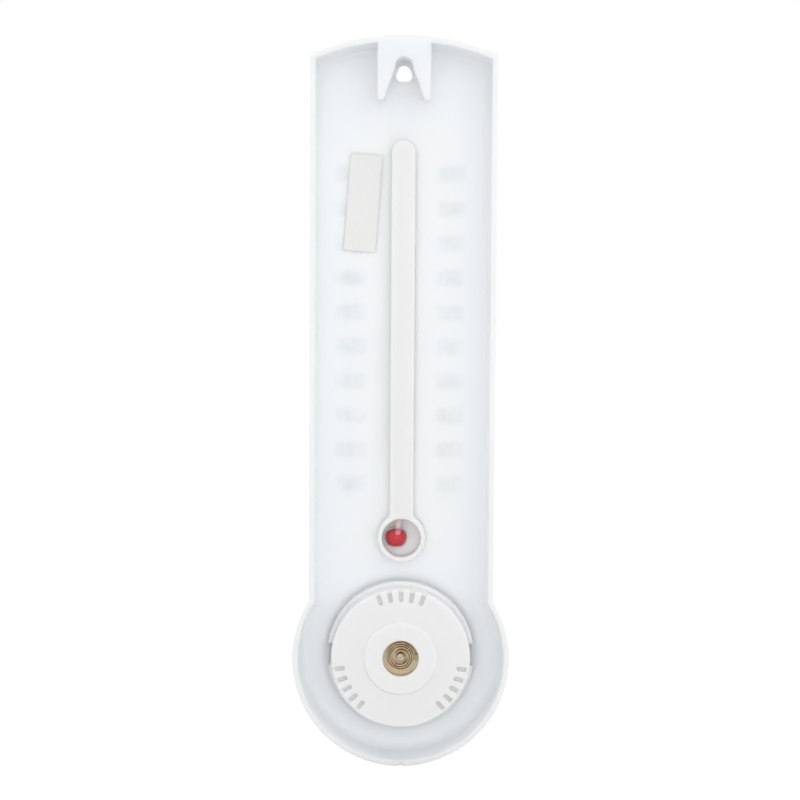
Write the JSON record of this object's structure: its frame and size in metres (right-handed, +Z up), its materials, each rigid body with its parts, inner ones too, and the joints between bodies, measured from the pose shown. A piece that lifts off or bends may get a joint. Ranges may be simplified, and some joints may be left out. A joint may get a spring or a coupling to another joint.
{
  "type": "wall thermo-hygrometer",
  "caption": "Tall white moulded wall case, open at the back, with a spirit thermometer tube under a cover and a round dial hygrometer module set in a bowl below it.",
  "frame": {"origin": "centre of the round roof of the hanging channel, in the plane of the rear rim", "axes": "+Z up along the case, +Y out of the open back towards the wall, scale and dial face -Y, +X to the left of somebody who looks at the back"},
  "size_m": [0.0598, 0.016, 0.2],
  "materials": {
    "case_white": "satin moulded white, very slightly blue",
    "cover_white": "satin moulded white",
    "housing_white": "satin moulded white",
    "bezel_white": "polished moulded white",
    "tube_glass": "clear drawn glass",
    "clear_window": "clear moulded window",
    "red_spirit": "clear red liquid",
    "dial_print": "printed white, semi-matt",
    "movement_brass": "turned and pressed, slightly dulled",
    "washer_steel": "sprung steel",
    "coil_copper": "rolled coppery strip with a dull coating",
    "pointer_black": "black paint",
    "dust_felt": "white needled felt",
    "sticker_paper": "blank uncoated label paper"
  },
  "bodies": {
    "case": {"case": "case_white", "tube_cover": "cover_white", "glass_tube": "tube_glass", "bulb_spirit": "red_spirit", "spirit_thread": "red_spirit", "module_housing": "housing_white", "dust_ring": "dust_felt", "bezel_ring": "bezel_white", "dial_window": "clear_window", "dial_spacer": "bezel_white", "dial_plate": "dial_print", "bearing_bush": "movement_brass", "friction_washer": "washer_steel", "sticker": "sticker_paper"},
    "coil_mount": {"coil_cup": "movement_brass", "coil_clip": "movement_brass", "humidity_coil": "coil_copper"},
    "indicator": {"arbor": "movement_brass", "pointer": "pointer_black", "pointer_hub": "pointer_black"},
    "spirit_column": {"spirit_top": "red_spirit"}
  },
  "joints": [
    {"name": "temperature_reading", "type": "slide", "parent": "case", "child": "spirit_column", "axis": [0, 0, 1], "range_m": [-0.0499, 0.0268], "deforming": ["spirit_thread"]},
    {"name": "calibration", "type": "hinge", "parent": "case", "child": "coil_mount", "pos_m": [0, -0.0067, -0.1623], "axis": [0, 1, 0], "range_deg": [-30, 30]},
    {"name": "humidity_reading", "type": "hinge", "parent": "coil_mount", "child": "indicator", "pos_m": [0, -0.0067, -0.1623], "axis": [0, 1, 0], "range_deg": [-120, 120], "stiffness_Nm_per_rad": 0.000002, "deforming": ["humidity_coil"]}
  ]
}
